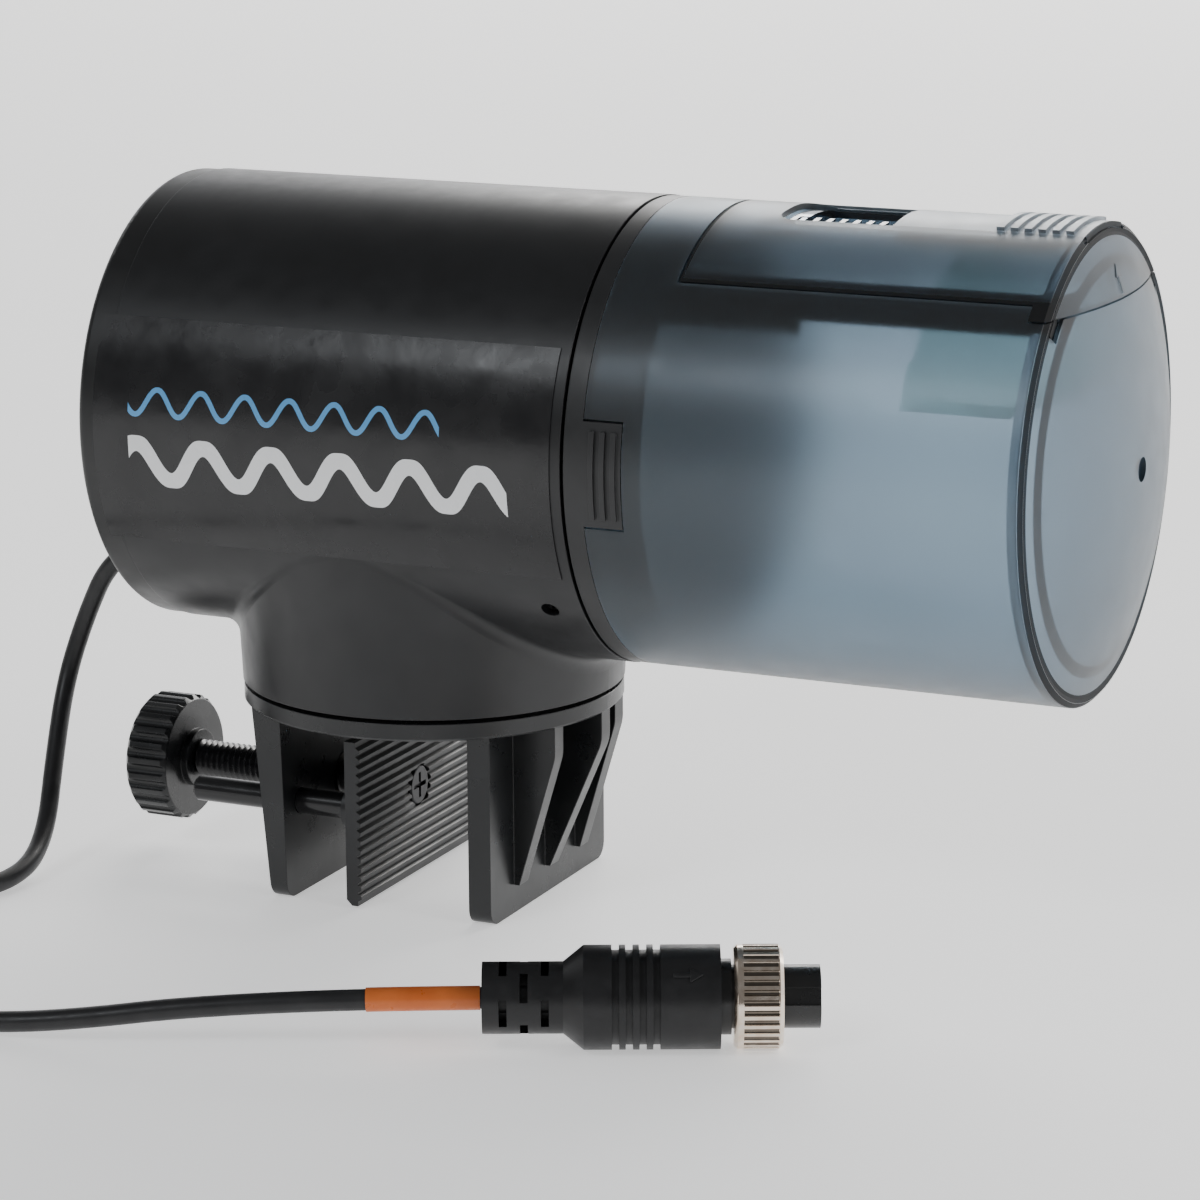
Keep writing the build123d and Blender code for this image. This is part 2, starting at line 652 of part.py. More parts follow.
def drum_collar():
    collar = ring(drum_radius, skirt_radius - 2, collar_x0, collar_x1)
    collar += ring(skirt_radius, skirt_radius - 1.8, collar_x1 - 1, collar_skirt_end_x)
    collar += disc(skirt_radius - 0.5, collar_skirt_end_x - web_thickness, collar_skirt_end_x)
    collar += disc(drive_hub_radius, collar_x0, collar_skirt_end_x - 1)
    collar += disc(magnet_radius + 1.2, collar_x0, collar_skirt_end_x - 1, magnet_y, magnet_z)
    collar += band(drum_radius, skirt_radius - 1, collar_x1, tab_x1, -tab_half_angle, tab_half_angle)
    for i in range(tab_ribs):
        rib_x = collar_x1 + 1.2 + i * tab_rib_pitch
        collar += band(drum_radius + tab_rib_height, drum_radius - 1, rib_x, rib_x + tab_rib_width,
                       -tab_rib_half_angle, tab_rib_half_angle)
    for start, end in (prong_angles, (180 - prong_angles[1], 180 - prong_angles[0])):
        tip_x = collar_skirt_end_x + prong_length
        collar += band(lip_radius - gap, lip_radius - 1.8, collar_skirt_end_x - 1, tip_x, start, end)
    collar -= disc(spindle_radius, collar_x0 - 1, collar_skirt_end_x - web_thickness)
    return collar - disc(magnet_radius, collar_x0 - 1, collar_x0 + magnet_depth, magnet_y, magnet_z)


# --- drum body, hatch and shutter ---
lip_height = 1.25
lip_outer = drum_inner - 0.25
lip_radius = lip_outer - lip_height
lip_start_angle = 43.5
tray_x0 = 88.0
tray_height = 12.0       # of the baffle's floor above the axis
tray_wall = 1.6
tray_wing = 6.0          # height over which the baffle reaches the drum's wall


def drum_profile():
    """Wall of the drum and its dome as one turned shape."""
    sphere = (dome_rim_radius ** 2 + dome_depth ** 2) / (2 * dome_depth)
    rim_x = drum_end_x - 0.2
    middle_x = rim_x + dome_depth
    centre_x = middle_x - sphere
    inner_sphere = sphere - dome_wall

    def at(radius_of_sphere, height):
        return (centre_x + math.sqrt(radius_of_sphere ** 2 - height ** 2), 0, height)

    inner_rim = drum_inner - 1.0
    outline = [
        Polyline(
            at(sphere, dome_rim_radius),
            (drum_end_x, 0, dome_rim_radius + 0.7),
            (drum_end_x - 0.7, 0, drum_radius),
            (collar_x1 + seat, 0, drum_radius),
            (collar_x1 + seat, 0, drum_inner),
            (at(inner_sphere, inner_rim)[0] - 1.0, 0, drum_inner),
            at(inner_sphere, inner_rim),
        ),
        ThreePointArc(at(inner_sphere, inner_rim), at(inner_sphere, inner_rim / 2), at(inner_sphere, 0)),
        Line(at(inner_sphere, 0), at(sphere, 0)),
        ThreePointArc(at(sphere, 0), at(sphere, dome_rim_radius / 2), at(sphere, dome_rim_radius)),
    ]
    wall = revolve(make_face(outline), Axis.X)
    return Pos(0, 0, axis_z) * wall - disc(vent_radius, drum_end_x, drum_end_x + 20)


def hatch_zone(grow):
    """The space the hatch fills, made larger all round by grow for the opening in the drum."""
    turn = math.degrees(grow / drum_radius)
    start = hatch_edge_angle - turn
    side = band(drum_radius + 5, lip_radius - 6, hatch_start_x - grow, drum_end_x, start, 180 - start)
    far = drum_end_x + dome_depth + 5
    wide = drum_radius + 5
    end = block(drum_end_x - 3, far, -wide, wide, axis_z + dome_cut_height - grow, axis_z + wide)
    return side + end


def mirrored(shape):
    """A shape and its mirror image on the far side of the drum."""
    return shape + mirror(shape, Plane.XZ)


dome_rim_radius = drum_radius - dome_shoulder
dome_cut_height = drum_radius * math.sin(math.radians(hatch_edge_angle)) - dome_cut_drop
shell_of_drum = drum_profile()
lip_end_x = drum_end_x - 0.1
slider_angles = (90 - slider_half_angle, 90 + slider_half_angle)
slider_floor = drum_radius - slider_thickness - 0.1
slider_end_x = drum_end_x - 0.3
turn_gap = math.degrees(0.15 / drum_radius)


def food_drum():
    drum = shell_of_drum - hatch_zone(seam)
    notch = tab_half_angle + turn_gap * 2
    drum -= band(drum_radius + 1, drum_inner - 1, collar_x1 - 1, tab_x1 + 0.15, -notch, notch)
    lip_way = band(drum_inner, lip_radius - 0.25, lip_end_x - 4, drum_end_x + 1, lip_start_angle - 0.6, 60)
    return drum - mirrored(lip_way)


def channel(half_angle, floor_radius, x0):
    """A shallow groove round the top of the hatch, with a closed end."""
    half_width = floor_radius * math.sin(math.radians(half_angle))
    far = drum_end_x + 20
    plan = block(x0, far, -half_width, half_width, axis_z, axis_z + 2 * drum_radius)
    plan = fillet(plan.faces().sort_by(Axis.X)[0].edges().filter_by(Axis.Z), slot_corner)
    return plan - disc(floor_radius, x0 - 5, far + 5)


def drum_hatch():
    hatch = shell_of_drum & hatch_zone(0)
    lip = band(lip_outer, lip_radius, hatch_start_x + 1.2, lip_end_x, lip_start_angle, hatch_edge_angle + 4)
    lip += band(drum_inner + 0.3, lip_outer - 0.3, hatch_start_x + 1.2, lip_end_x, hatch_edge_angle + 0.6,
                hatch_edge_angle + 4)
    hatch += mirrored(lip)
    hatch += band(drum_inner + 0.2, drum_inner - 0.8, aperture_start_x - 3, drum_end_x - 4,
                  slider_angles[0] - 4, slider_angles[1] + 4)
    hatch -= channel(slider_half_angle + 0.4, slider_floor, aperture_start_x - 0.2)
    groove = band(slider_floor + 0.5, slider_floor - 0.05, aperture_start_x + 3, slider_end_x + 0.2,
                  slider_angles[0] - 2.1, slider_angles[0] + 1)
    hatch -= mirrored(groove)
    ledge_angle = 84.5
    half_open = slider_start_x - aperture_start_x - 3.2
    ledge = band(slider_floor + 0.1, slider_floor - 0.7, aperture_start_x + 1.8,
                 aperture_start_x + 3 + half_open, slider_angles[0] + 0.3, ledge_angle)
    hatch -= ledge
    hatch -= band(drum_radius + 1, drum_inner - 2, aperture_start_x + 3.2, slider_start_x - 0.3, ledge_angle,
                  slider_angles[1] - 1.2)
    for i in range(scale_ribs):
        rib_x = aperture_start_x + 2.2 + i * rib_pitch
        hatch += band(slider_floor - 0.08, slider_floor - 1.0, rib_x, rib_x + 0.8, slider_angles[0],
                      ledge_angle)
    return hatch


def portion_slider():
    slider = band(drum_radius, slider_floor + 0.1, slider_start_x, slider_end_x, *slider_angles)
    tongue = band(slider_floor + 0.38, slider_floor + 0.1, slider_start_x + 0.5, slider_end_x - 1,
                  slider_angles[0] - 1.6, slider_angles[0] + 1)
    slider += mirrored(tongue)
    for i in range(grip_ridges):
        ridge_x = slider_end_x - 2.6 - i * rib_pitch
        slider += band(drum_radius + ridge_rise, drum_radius - 0.4, ridge_x - ridge_half_width,
                       ridge_x + ridge_half_width, slider_angles[0] + 1, slider_angles[1] - 1)
    return slider


def food_baffle():
    """A box shelf under the closed end of the hatch that turns the food towards the slot."""
    reach = drum_inner - seat
    end_x = drum_end_x - 3.2
    wide = drum_radius + 5
    tray_z = axis_z + tray_height
    tray = disc(reach, tray_x0, end_x) & block(tray_x0, end_x, -wide, wide, tray_z, axis_z + wide)
    wings = block(tray_x0, end_x, -wide, wide, axis_z, tray_z + tray_wing)
    tray &= disc(lip_radius - gap, tray_x0, end_x) + wings
    hollow = block(tray_x0 + tray_wall, end_x + 1, -wide, wide, tray_z + tray_wall, axis_z + wide)
    return tray - hollow


save("drum_collar", drum_collar())
magnet_x = collar_x0 + magnet_depth
save("home_magnet", disc(magnet_radius, magnet_x - 1.8, magnet_x, magnet_y, magnet_z))
save("food_drum", food_drum())
save("drum_hatch", drum_hatch())
save("portion_slider", portion_slider())
save("food_baffle", food_baffle())
sensor_box = block(bulkhead_x0 - 3.0, bulkhead_x0, magnet_y - 4, magnet_y + 4, magnet_z - 3, magnet_z + 3)
save("home_sensor", sensor_box)

# --- label round the side of the housing, lapping over the rear seam ---
label_lap = 1.8
label_angles = (-28.2, 29.3)
save("label", band(body_radius + 0.2, body_radius + 0.02, rear_seam_x - label_lap, front_seam_x - 1.6,
                   *label_angles))

# --- cord: out of the gland, down to the floor, a coil of the spare length, and on to the plug ---
coil_centre = (-114.0, -24.0)
drop_points = [
    (gland_in_x, 0.0, gland_z),
    (-49.0, 0.0, 50.4),
    (-58.0, 0.0, 45.6),
    (-62.9, 0.0, 36.0),
    (-65.6, -2.5, 25.5),
    (-63.2, -10.5, 15.0),
    (-59.4, -20.0, 4.8),
    (-56.6, -32.0, 1.7),
    (-61.5, -44.0, 1.7),
    (-73.5, -49.5, 1.7),
    (-85.0, -43.5, 1.7),
    (-89.4, -31.0, 1.7),
    (-91.5, -14.0, 1.7),
    (-102.0, -4.0, 1.9),
    (-117.0, -7.5, 2.2),
]
return_points = [
    (-114.0, -41.0, 2.2),
    (-103.5, -46.5, 1.7),
    (-88.0, -56.0, 1.7),
    (-71.0, -66.5, 1.7),
    (-54.5, -78.2, 1.7),
    (-38.0, -92.5, 1.7),
]


def plug_point(along, side, z):
    """A point measured from the back of the plug along its axis and to its left."""
    a = math.radians(plug_turn)
    x = plug_back[0] + along * math.cos(a) - side * math.sin(a)
    y = plug_back[1] + along * math.sin(a) + side * math.cos(a)
    return x, y, z


plug_z = plug_radius + 0.05
cord_grip = 4.0
return_points += [plug_point(-66.0, 4.5, 1.9), plug_point(-31.0, 0, plug_z), plug_point(cord_grip, 0, plug_z)]


def tube(points, name):
    """A round cord along straight runs joined by tangent arcs, and the list of the arcs' radii."""
    runs = [(Vector(*b) - Vector(*a)) for a, b in zip(points, points[1:])]
    radii = []
    for one, two in zip(runs, runs[1:]):
        half = math.radians(one.get_angle(two)) / 2
        radii.append(0.45 * min(one.length, two.length) / math.tan(half))
    path = FilletPolyline(*points, radius=radii)
    start = Plane(origin=points[0], z_dir=runs[0])
    solid = sweep(start * Circle(cord_radius), path=path)
    print(name, "radii", [round(r, 1) for r in radii], "length", round(path.length, 1),
          "volume ratio", round(solid.volume / (math.pi * cord_radius ** 2 * path.length), 4))
    return solid, path.length


drop, drop_length = tube(drop_points, "feeder_cord")
back, back_length = tube(return_points, "cord_return")
save("feeder_cord", drop)
save("cord_return", back)
coil = Pos(*coil_centre, coil_section_radius) * Torus(coil_mid_radius, coil_section_radius)
save("cord_coil", coil)
coil_length = coil_turns * 2 * math.pi * coil_mid_radius
print("cord length", round(drop_length + back_length + coil_length, 1))

# --- plug ---
plug_place = Pos(*plug_point(0, 0, plug_z)) * Rot(0, 0, plug_turn)


def along_plug(radius, x0, x1):
    return Pos((x0 + x1) / 2, 0, 0) * Rot(0, 90, 0) * Cylinder(radius, x1 - x0)


cone_x1 = relief_length + cone_length
body_x1 = cone_x1 + plug_body_length
nut_x0 = body_x1 + insert_neck_length
nut_x1 = nut_x0 + nut_length
barrel_x1 = nut_x1 + barrel_length


def plug_body():
    body = along_plug(relief_radius, 0, relief_length) + along_plug(plug_radius, cone_x1, body_x1)
    cone = Cone(relief_radius, plug_radius, cone_length)
    body += Pos(relief_length + cone_length / 2, 0, 0) * Rot(0, 90, 0) * cone
    core = along_plug(plug_radius - plug_groove_depth, 0, body_x1)
    for i in range(plug_grooves):
        groove_x = cone_x1 + plug_groove_start + i * plug_groove_pitch
        body -= along_plug(plug_radius + 1, groove_x, groove_x + plug_groove_width) - core
    for i in range(3):
        slot_x = relief_first_slot + i * relief_slot_pitch
        for turn in relief_slot_turns[i % 2]:
            slot = Pos(slot_x, 0, relief_radius) * Box(relief_slot_width, relief_slot_span, relief_radius)
            slot -= along_plug(cord_radius + 1.2, 0, relief_length)
            body -= Rot(turn, 0, 0) * slot
    body -= along_plug(cord_radius, -1, cord_grip)
    return plug_place * (body - along_plug(barrel_radius, body_x1 - 6, body_x1 + 1))


def coupling_nut():
    nut = along_plug(plug_radius, nut_x0, nut_x1)
    nut = chamfer(nut.edges().filter_by(GeomType.CIRCLE), 0.5)
    for i in range(knurl_count):
        flute = Pos(0, plug_radius + 0.12, 0) * along_plug(knurl_radius, nut_x0 + knurl_margin, nut_x1 - 0.6)
        nut -= Rot(360 * i / knurl_count, 0, 0) * flute
    nut -= along_plug(barrel_radius + running, nut_x0 - 1, nut_x1 + 1)
    return plug_place * (nut - along_plug(5.6, nut_x0 + 1.6, nut_x1 + 1))


contact_offset = 2.1
contact_radius = 0.5
contacts = []
insert = along_plug(barrel_radius, body_x1 - 6, barrel_x1)
insert += along_plug(barrel_radius + 0.85, body_x1, nut_x0 - gap)
insert -= along_plug(barrel_radius - 0.8, barrel_x1 - 3.0, barrel_x1 + 1)
insert += along_plug(barrel_radius - 1.1, barrel_x1 - 3.5, barrel_x1 - 0.4)
key_slot = Pos(barrel_x1, 0, barrel_radius) * Box(2 * barrel_length + 1, key_width, 2 * key_depth)
insert -= Rot(key_turn, 0, 0) * key_slot
for i in range(4):
    a = math.pi / 4 + i * math.pi / 2
    spot = Pos(0, contact_offset * math.cos(a), contact_offset * math.sin(a))
    insert -= spot * along_plug(contact_radius, barrel_x1 - 9, barrel_x1 + 1)
    tip = spot * along_plug(contact_radius, barrel_x1 - 9, barrel_x1 - 0.8)
    contacts.append(plug_place * tip)
save("plug_body", plug_body())
save("coupling_nut", coupling_nut())
save("plug_insert", plug_place * insert)
save("plug_contacts", contacts)
sleeve = along_plug(cord_radius + sleeve_wall, -sleeve_length - 0.3, -0.3)
save("marker_sleeve", plug_place * (sleeve - along_plug(cord_radius, -sleeve_length - 1, 1)))
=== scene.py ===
import math

import bpy
from mathutils import Matrix, Vector


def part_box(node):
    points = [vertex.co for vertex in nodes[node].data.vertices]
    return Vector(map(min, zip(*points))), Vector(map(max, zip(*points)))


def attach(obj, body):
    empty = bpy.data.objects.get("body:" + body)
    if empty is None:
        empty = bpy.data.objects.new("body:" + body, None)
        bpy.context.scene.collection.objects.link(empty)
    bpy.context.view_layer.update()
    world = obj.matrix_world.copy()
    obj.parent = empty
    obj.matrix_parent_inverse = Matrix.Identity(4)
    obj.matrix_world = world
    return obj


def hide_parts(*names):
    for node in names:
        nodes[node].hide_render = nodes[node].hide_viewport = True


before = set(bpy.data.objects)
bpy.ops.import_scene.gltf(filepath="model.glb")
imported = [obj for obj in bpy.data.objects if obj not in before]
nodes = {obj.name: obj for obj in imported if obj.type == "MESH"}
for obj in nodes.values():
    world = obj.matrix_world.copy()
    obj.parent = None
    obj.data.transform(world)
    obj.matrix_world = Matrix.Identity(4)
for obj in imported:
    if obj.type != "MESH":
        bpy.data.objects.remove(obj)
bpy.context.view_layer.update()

# --- Clamp bracket ---
# One moulding in glass-filled black plastic: a round flange, the fixed jaw with its three gussets, and the
# wall that the screw runs through. It leaves the tool with a fine grain and a satin shine.


def shader(name):
    """A new material, with its node tree, its shader and Object coordinates."""
    material = bpy.data.materials.new(name)
    material.use_nodes = True
    tree = material.node_tree
    place = tree.nodes.new("ShaderNodeTexCoord")
    return material, tree, tree.nodes["Principled BSDF"], place.outputs["Object"]


def grain(tree, place, size, detail=4.0, stretch=(1, 1, 1)):
    """Noise whose spots are about this many metres across."""
    scaled = tree.nodes.new("ShaderNodeMapping")
    scaled.inputs["Scale"].default_value = stretch
    noise = tree.nodes.new("ShaderNodeTexNoise")
    noise.inputs["Scale"].default_value = 1 / size
    noise.inputs["Detail"].default_value = detail
    tree.links.new(place, scaled.inputs["Vector"])
    tree.links.new(scaled.outputs["Vector"], noise.inputs["Vector"])
    return noise.outputs["Fac"]


def spread(tree, value, low, high, start=0.3, end=0.7):
    """Stretches a noise value to run from low to high."""
    node = tree.nodes.new("ShaderNodeMapRange")
    node.inputs["From Min"].default_value = start
    node.inputs["From Max"].default_value = end
    node.inputs["To Min"].default_value = low
    node.inputs["To Max"].default_value = high
    tree.links.new(value, node.inputs["Value"])
    return node.outputs["Result"]


def tinted(tree, share, dark, light):
    """A colour between two, by a share from 0 to 1."""
    mix = tree.nodes.new("ShaderNodeMix")
    mix.data_type = "RGBA"
    mix.inputs["A"].default_value = (*dark, 1)
    mix.inputs["B"].default_value = (*light, 1)
    tree.links.new(share, mix.inputs["Factor"])
    return mix.outputs["Result"]


def relief(tree, surface, height, strength, depth, under=None):
    """Shallow bumps in a surface, laid over another normal where one is given."""
    bumps = tree.nodes.new("ShaderNodeBump")
    bumps.inputs["Strength"].default_value = strength
    bumps.inputs["Distance"].default_value = depth
    tree.links.new(height, bumps.inputs["Height"])
    if under:
        tree.links.new(under, bumps.inputs["Normal"])
    tree.links.new(bumps.outputs["Normal"], surface.inputs["Normal"])


def moulded(name, dark, light, shine, texture=0.0006, edge=0.00025):
    """Moulded plastic: a fine tool grain, uneven shine, faint clouding and softened edges."""
    material, tree, surface, place = shader(name)
    cloud = spread(tree, grain(tree, place, 0.012), 0, 1)
    tree.links.new(tinted(tree, cloud, dark, light), surface.inputs["Base Color"])
    rubbed = spread(tree, grain(tree, place, 0.004, 6.0), shine - 0.05, shine + 0.05)
    tree.links.new(rubbed, surface.inputs["Roughness"])
    soft_edge = tree.nodes.new("ShaderNodeBevel")
    soft_edge.samples = 4
    soft_edge.inputs["Radius"].default_value = edge
    tool_grain = grain(tree, place, texture, 2.0)
    relief(tree, surface, tool_grain, 0.5, 0.000005, soft_edge.outputs["Normal"])
    surface.inputs["IOR"].default_value = 1.52
    return material


def finish_node(name, material):
    """Gives a CAD node its finish."""
    mesh = nodes[name].data
    mesh.materials.clear()
    mesh.materials.append(material)


clamp_black = moulded("clamp_black", (0.006, 0.0066, 0.0072), (0.011, 0.012, 0.013), 0.3)
finish_node("clamp_bracket", clamp_black)

# --- Screw insert and swivel ---
# The blackened brass insert is pressed into the clamp's wall. The slip ring is white acetal, and the wave
# washer, washer and pan-head screw that hold the neck to the flange are plated steel.


def metal(name, dark, light, shine, brush=(1, 1, 1), size=0.0006):
    """Bare or plated metal: uneven shine with a drawn or rolled texture."""
    material, tree, surface, place = shader(name)
    streak = grain(tree, place, size, 5.0, brush)
    tree.links.new(tinted(tree, spread(tree, streak, 0, 1), dark, light), surface.inputs["Base Color"])
    tree.links.new(spread(tree, streak, shine - 0.07, shine + 0.08), surface.inputs["Roughness"])
    surface.inputs["Metallic"].default_value = 1.0
    relief(tree, surface, streak, 0.3, 0.00001)
    return material


zinc_steel = metal("zinc_steel", (0.42, 0.42, 0.43), (0.62, 0.62, 0.63), 0.3)
spring_steel = metal("spring_steel", (0.35, 0.35, 0.36), (0.5, 0.5, 0.52), 0.25, (1, 1, 6))
white_acetal = moulded("white_acetal", (0.74, 0.74, 0.72), (0.82, 0.82, 0.8), 0.38, 0.0008)
dark_brass = metal("blackened_brass", (0.03, 0.028, 0.024), (0.06, 0.055, 0.045), 0.32, (1, 8, 8))
finish_node("screw_insert", dark_brass)
finish_node("swivel_ring", white_acetal)
finish_node("swivel_spring", spring_steel)
finish_node("swivel_washer", zinc_steel)
finish_node("swivel_screw", zinc_steel)

# --- Pressure plate and guide pins ---
# The plate is moulded with seventeen ridges that grip the tank's wall. Its two pins are smooth rods pressed
# into bosses on its back, and slide in the clamp's wall.
plate_black = moulded("plate_black", (0.009, 0.0095, 0.0105), (0.015, 0.016, 0.0175), 0.36, edge=0.0001)
pin_black = moulded("pin_black", (0.008, 0.008, 0.0085), (0.014, 0.014, 0.015), 0.22, 0.0009)
finish_node("pressure_plate", plate_black)
finish_node("guide_pins", pin_black)

# --- Clamp screw ---
# A black nylon rod with a rolled thread of 1 mm pitch. Its plain end is pressed into the knob, and its
# journal turns in the plate, held by a small cross-head screw.
screw_low, screw_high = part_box("clamp_screw")
screw_z = (screw_low.z + screw_high.z) / 2
thread_radius = (screw_high.z - screw_low.z) / 2
thread_depth = 0.00055
core_radius = thread_radius - thread_depth
thread_pitch = 0.001
root_share = 0.16
flank_share = 0.7
into_knob = 0.0006
short_of_plate = 0.0003
thread_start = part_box("screw_knob")[1].x - into_knob
thread_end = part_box("pressure_plate")[0].x - short_of_plate
turns = int((thread_end - thread_start) / thread_pitch)
journal_radius = core_radius - 0.0006
journal_start = thread_end - 0.002


def start_clean():
    """Leaves edit mode and selects nothing."""
    if bpy.context.object and bpy.context.object.mode != "OBJECT":
        bpy.ops.object.mode_set(mode="OBJECT")
    bpy.ops.object.select_all(action="DESELECT")


def settle(piece, name, material, body, angle=35):
    """Names a finished piece, puts its place in its mesh, smooths it, and fixes it to its body."""
    start_clean()
    piece.select_set(True)
    bpy.context.view_layer.objects.active = piece
    bpy.ops.object.transform_apply(location=True, rotation=True, scale=True)
    bpy.ops.object.shade_smooth_by_angle(angle=math.radians(angle))
    piece.name = name
    piece.data.name = name
    piece.data.materials.clear()
    piece.data.materials.append(material)
    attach(piece, body)
    return piece


def pick(piece, kind, wanted):
    """In edit mode, selects the vertices, edges or faces whose middle meets the test."""
    bpy.ops.object.mode_set(mode="EDIT")
    bpy.ops.mesh.select_mode(type=kind)
    bpy.ops.mesh.select_all(action="DESELECT")
    bpy.ops.object.mode_set(mode="OBJECT")
    mesh = piece.data
    for item in {"VERT": mesh.vertices, "EDGE": mesh.edges, "FACE": mesh.polygons}[kind]:
        if kind == "VERT":
            middle = item.co
        elif kind == "FACE":
            middle = item.center
        else:
            middle = (mesh.vertices[item.vertices[0]].co + mesh.vertices[item.vertices[1]].co) / 2
        item.select = bool(wanted(middle))
    bpy.ops.object.mode_set(mode="EDIT")


start_clean()
bpy.ops.mesh.primitive_plane_add(size=thread_pitch, location=(0, 0, 0))
thread = bpy.context.object
pick(thread, "VERT", lambda co: co.x > 0)
bpy.ops.mesh.delete(type="VERT")
bpy.ops.mesh.select_all(action="SELECT")
bpy.ops.mesh.subdivide(number_cuts=5)
bpy.ops.object.mode_set(mode="OBJECT")
for vertex in thread.data.vertices:
    rise = 1 - abs(vertex.co.y) / (thread_pitch / 2)
    flank = min(1.0, max(0.0, (rise - root_share) / flank_share))
    vertex.co = (core_radius + thread_depth * flank, 0, vertex.co.y)
winding = thread.modifiers.new("winding", "SCREW")
winding.axis = "Z"
winding.screw_offset = thread_pitch
winding.iterations = turns
winding.steps = 40
winding.render_steps = 40
winding.use_merge_vertices = True
bpy.ops.object.modifier_apply(modifier="winding")
bpy.ops.object.mode_set(mode="EDIT")
bpy.ops.mesh.select_all(action="SELECT")
bpy.ops.mesh.remove_doubles(threshold=0.000002)
bpy.ops.mesh.select_all(action="DESELECT")
bpy.ops.mesh.select_mode(type="EDGE")
bpy.ops.mesh.select_non_manifold(extend=False)
bpy.ops.mesh.fill()
bpy.ops.mesh.select_all(action="SELECT")
bpy.ops.mesh.normals_make_consistent(inside=False)
bpy.ops.object.mode_set(mode="OBJECT")
thread.rotation_euler = (0, math.radians(90), 0)
thread.location = (thread_start + thread_pitch / 2, 0, screw_z)
bpy.ops.mesh.primitive_cylinder_add(
    vertices=48, radius=journal_radius, depth=screw_high.x - journal_start,
    location=((screw_high.x + journal_start) / 2, 0, screw_z), rotation=(0, math.radians(90), 0),
)
journal = bpy.context.object
pick(journal, "EDGE", lambda co: abs(co.z) > 0.0001)
bpy.ops.mesh.bevel(offset=0.0002, segments=2)
bpy.ops.object.mode_set(mode="OBJECT")
thread.select_set(True)
journal.select_set(True)
bpy.context.view_layer.objects.active = thread
bpy.ops.object.join()
nylon_black = moulded("nylon_black", (0.008, 0.008, 0.009), (0.014, 0.014, 0.016), 0.24, edge=0.00006)
settle(thread, "clamp_screw_thread", nylon_black, "clamp_screw", 30)
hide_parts("clamp_screw")
finish_node("screw_knob", moulded("knob_black", (0.006, 0.0066, 0.0072), (0.012, 0.0128, 0.0138), 0.27))
finish_node("plate_screw", metal("blackened_steel", (0.03, 0.03, 0.032), (0.07, 0.07, 0.072), 0.35))

# --- Housing shell, rear cap and front bulkhead ---
# The tube and its neck are one moulding in satin black plastic. The cap plugs into its rear end on three
# screws, and the bulkhead closes the front and carries the drive.
housing_black = moulded("housing_black", (0.0055, 0.0058, 0.0066), (0.0095, 0.01, 0.0112), 0.36)
finish_node("housing_shell", housing_black)
finish_node("rear_cap", moulded("cap_black", (0.006, 0.0062, 0.0066), (0.01, 0.0104, 0.011), 0.38))
finish_node("front_bulkhead", moulded("bulkhead_black", (0.015, 0.015, 0.016), (0.024, 0.024, 0.025), 0.45))
finish_node("rear_cap_screws", zinc_steel)
finish_node("housing_screws", metal("black_oxide", (0.02, 0.02, 0.022), (0.05, 0.05, 0.052), 0.4))

# --- Circuit board ---
# A round glass-fibre board, its green mask over etched copper, held by plated screws. The parts soldered on
# it have black and grey cases.
board_green, tree, surface, place = shader("board_green")
etched = tree.nodes.new("ShaderNodeTexBrick")
etched.inputs["Scale"].default_value = 260
etched.inputs["Mortar Size"].default_value = 0.04
etched.inputs["Color1"].default_value = (0.012, 0.12, 0.05, 1)
etched.inputs["Color2"].default_value = (0.016, 0.15, 0.065, 1)
etched.inputs["Mortar"].default_value = (0.03, 0.26, 0.11, 1)
tree.links.new(place, etched.inputs["Vector"])
tree.links.new(etched.outputs["Color"], surface.inputs["Base Color"])
tree.links.new(spread(tree, grain(tree, place, 0.002), 0.25, 0.38), surface.inputs["Roughness"])
finish_node("circuit_board", board_green)
finish_node("board_components", moulded("component_grey", (0.02, 0.02, 0.021), (0.05, 0.05, 0.052), 0.42))
finish_node("board_screws", zinc_steel)

# --- Drive: gear plate, motor, pinion and home sensor ---
# The steel motor and its reduction head hang on a moulded plate behind the bulkhead. The gears, the bush and
# the spindle are white acetal. A nickelled magnet on the drum's side tells the sensor where home is.
finish_node("gear_plate", moulded("plate_grey", (0.03, 0.03, 0.032), (0.05, 0.05, 0.052), 0.45))
finish_node("gear_plate_screws", zinc_steel)
finish_node("gearhead_case", moulded("gearhead_black", (0.016, 0.016, 0.017), (0.028, 0.028, 0.03), 0.4))
finish_node("motor_screws", zinc_steel)
finish_node("motor_can", metal("rolled_steel", (0.45, 0.45, 0.47), (0.62, 0.62, 0.64), 0.3, (0.1, 4, 4)))
finish_node("pinion_gear", white_acetal)
finish_node("home_sensor", moulded("sensor_black", (0.012, 0.012, 0.012), (0.03, 0.03, 0.03), 0.35))
finish_node("spindle_bush", white_acetal)
finish_node("drum_gear", white_acetal)
finish_node("drum_spindle", white_acetal)
finish_node("spindle_clip", spring_steel)
finish_node("home_magnet", metal("nickelled_magnet", (0.5, 0.49, 0.46), (0.66, 0.65, 0.62), 0.2))

# --- Drum collar ---
# Charcoal plastic, one moulding: the ring, the skirt inside the drum, two prongs, and the finger tab with
# three ribs that fills a notch in the drum's edge.
finish_node("drum_collar", moulded("collar_charcoal", (0.012, 0.0124, 0.0132), (0.019, 0.0196, 0.021), 0.4))

